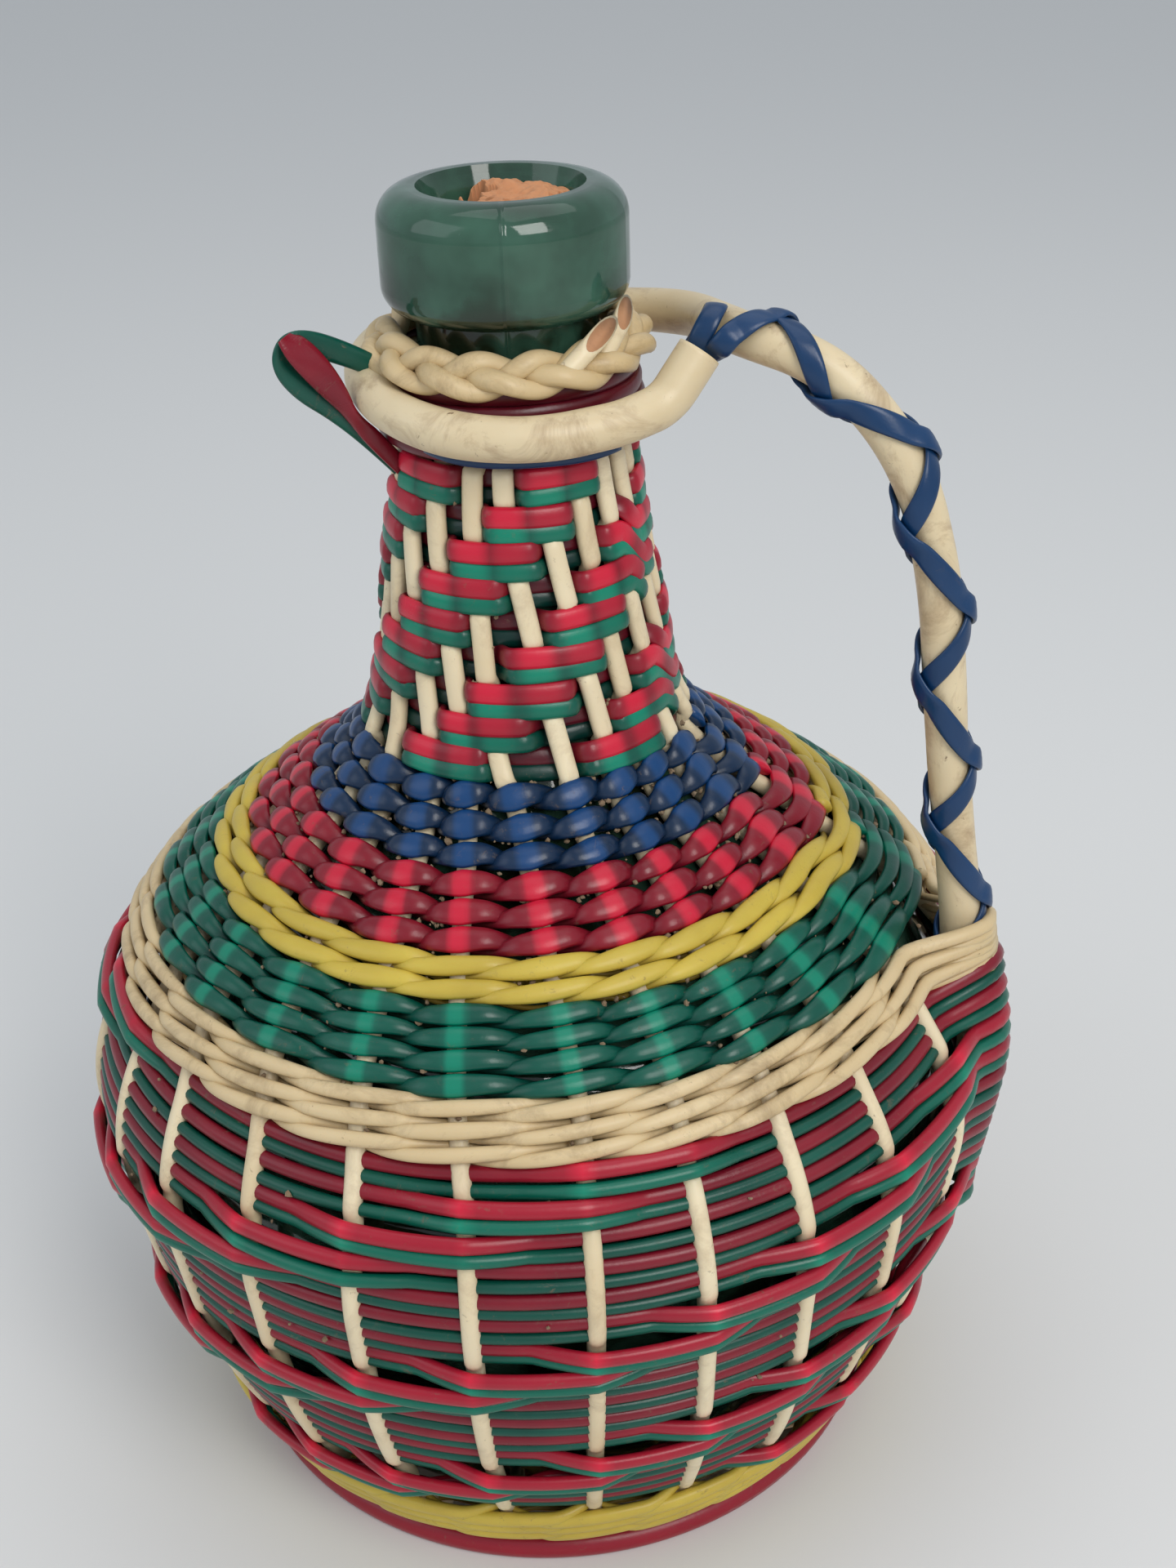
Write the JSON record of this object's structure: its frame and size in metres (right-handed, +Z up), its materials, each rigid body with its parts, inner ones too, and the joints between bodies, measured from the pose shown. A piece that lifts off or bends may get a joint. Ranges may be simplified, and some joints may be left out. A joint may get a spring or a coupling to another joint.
{
  "type": "woven-covered wine flask",
  "caption": "Green glass flask with a cork, in a tight woven cover of coloured plastic tubes on cream stakes, with a rod handle from the shoulder to a ring round the neck.",
  "frame": {"origin": "on the floor at the centre of the base", "axes": "+Z up the bottle's axis to the mouth, +X towards the side handle, +Y by the right-hand rule"},
  "size_m": [0.206, 0.206, 0.28],
  "materials": {
    "glass_green": "gloss",
    "cork": "matte",
    "cane_cream": "satin",
    "cane_wale": "satin",
    "cane_handle": "satin",
    "rod_core": "matte",
    "strand_red": "gloss",
    "strand_green": "gloss",
    "strand_blue": "gloss",
    "strand_yellow": "gloss"
  },
  "bodies": {
    "flask": {"glass_flask": "glass_green", "stakes": "cane_cream", "shoulder_rows_blue": "strand_blue", "shoulder_rows_red": "strand_red", "shoulder_wale_yellow": "strand_yellow", "shoulder_rows_green": "strand_green", "shoulder_wale_cream": "cane_wale", "base_wale_yellow": "strand_yellow", "neck_rows_green": "strand_green", "neck_rows_red": "strand_red", "body_rows_green": "strand_green", "body_rows_red": "strand_red", "base_hub": "cane_cream", "base_rows": "cane_cream", "base_rim_red": "strand_red", "handle_sheath": "cane_handle", "handle_core": "rod_core", "handle_binding": "strand_blue", "neck_tie_blue": "strand_blue", "neck_collar_braid": "cane_wale", "collar_cane_ends": "cane_cream", "hanging_loop_red": "strand_red", "hanging_loop_green": "strand_green"},
    "cork": {"cork_stopper": "cork"}
  },
  "joints": [
    {"name": "cork_pull", "type": "slide", "parent": "flask", "child": "cork", "axis": [0, 0, 1], "range_m": [0, 0.05]}
  ]
}
